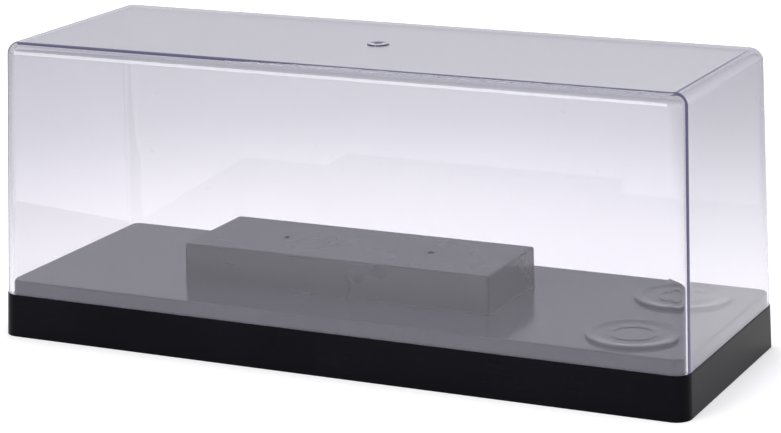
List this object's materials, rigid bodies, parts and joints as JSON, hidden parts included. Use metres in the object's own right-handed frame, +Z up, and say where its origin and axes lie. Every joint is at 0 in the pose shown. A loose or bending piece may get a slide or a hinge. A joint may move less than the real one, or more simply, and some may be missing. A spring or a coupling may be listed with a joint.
{
  "type": "display case",
  "caption": "Clear moulded cover that lifts off a black skirted base with a raised deck, a low hollow plinth to carry a scale model and plain round discs.",
  "frame": {"origin": "on the table under the middle of the base", "axes": "+X along the case towards the end with the discs, -Y towards the front long side, +Z up"},
  "size_m": [0.3214, 0.1168, 0.1324],
  "materials": {
    "base_plastic": "black moulded plastic, satin skirt and glossy deck",
    "clear_plastic": "clear moulded plastic with a faint cool tint",
    "plinth_plastic": "black moulded plastic, semi-gloss",
    "screw_steel": "zinc-plated steel",
    "disc_plastic": "black moulded plastic, glossy"
  },
  "bodies": {
    "base": {"base": "base_plastic", "plinth": "plinth_plastic", "plinth_screw_front_left": "screw_steel", "plinth_screw_front_right": "screw_steel", "plinth_screw_rear_left": "screw_steel", "plinth_screw_rear_right": "screw_steel", "front_disc": "disc_plastic", "rear_disc": "disc_plastic"},
    "cover": {"clear_cover": "clear_plastic"}
  },
  "joints": [
    {"name": "cover_lift", "type": "slide", "parent": "base", "child": "cover", "axis": [0, 0, 1], "range_m": [0, 0.12]}
  ]
}
